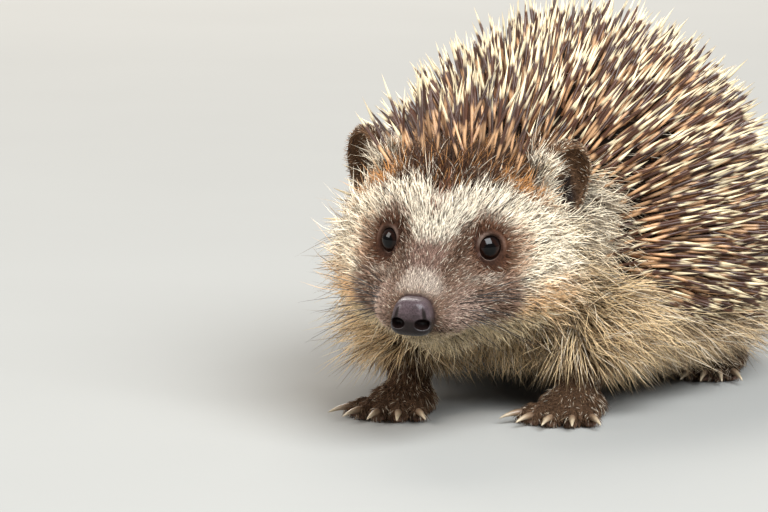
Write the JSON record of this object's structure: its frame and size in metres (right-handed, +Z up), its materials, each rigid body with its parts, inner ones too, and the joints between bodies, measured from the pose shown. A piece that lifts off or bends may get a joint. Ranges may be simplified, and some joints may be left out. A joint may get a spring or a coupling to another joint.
{
  "type": "standing hedgehog",
  "caption": "Life-size standing hedgehog with a spiny domed back, furred flanks, clawed feet and a pointed snout turned a little to its left.",
  "frame": {"origin": "on the floor under the middle of the bounding box", "axes": "-Y forward, the way the animal stands; +X to the animal's left; +Z up"},
  "size_m": [0.1134, 0.211, 0.101],
  "materials": {
    "spines": "stiff banded spines, pale at root and tip and dark brown between",
    "pale_fur": "coarse cream hair",
    "flank_fur": "long coarse cream-brown hair",
    "mask_fur": "short velvety grey-brown hair",
    "ear_skin": "thin dark skin with fine down",
    "leg_fur": "short grey-brown hair",
    "nose_skin": "moist pebbled skin",
    "eye_glass": "wet and very glossy",
    "horn": "smooth translucent horn"
  },
  "bodies": {
    "root": {"spiny_back": "spines", "spiny_nape": "spines", "spiny_crown": "spines", "trunk": "flank_fur", "neck": "flank_fur", "head": "pale_fur", "snout": "mask_fur", "lower_jaw": "pale_fur", "nose": "nose_skin", "eye_left": "eye_glass", "eye_right": "eye_glass", "ear_left": "ear_skin", "ear_right": "ear_skin", "tail": "leg_fur", "foreleg_left": "leg_fur", "forefoot_left": "leg_fur", "forefoot_left_claw_1": "horn", "forefoot_left_claw_2": "horn", "forefoot_left_claw_3": "horn", "forefoot_left_claw_4": "horn", "forefoot_left_claw_5": "horn", "foreleg_right": "leg_fur", "forefoot_right": "leg_fur", "forefoot_right_claw_1": "horn", "forefoot_right_claw_2": "horn", "forefoot_right_claw_3": "horn", "forefoot_right_claw_4": "horn", "forefoot_right_claw_5": "horn", "hindleg_left": "leg_fur", "hindfoot_left": "leg_fur", "hindfoot_left_claw_1": "horn", "hindfoot_left_claw_2": "horn", "hindfoot_left_claw_3": "horn", "hindfoot_left_claw_4": "horn", "hindfoot_left_claw_5": "horn", "hindleg_right": "leg_fur", "hindfoot_right": "leg_fur", "hindfoot_right_claw_1": "horn", "hindfoot_right_claw_2": "horn", "hindfoot_right_claw_3": "horn", "hindfoot_right_claw_4": "horn", "hindfoot_right_claw_5": "horn"}
  },
  "joints": []
}
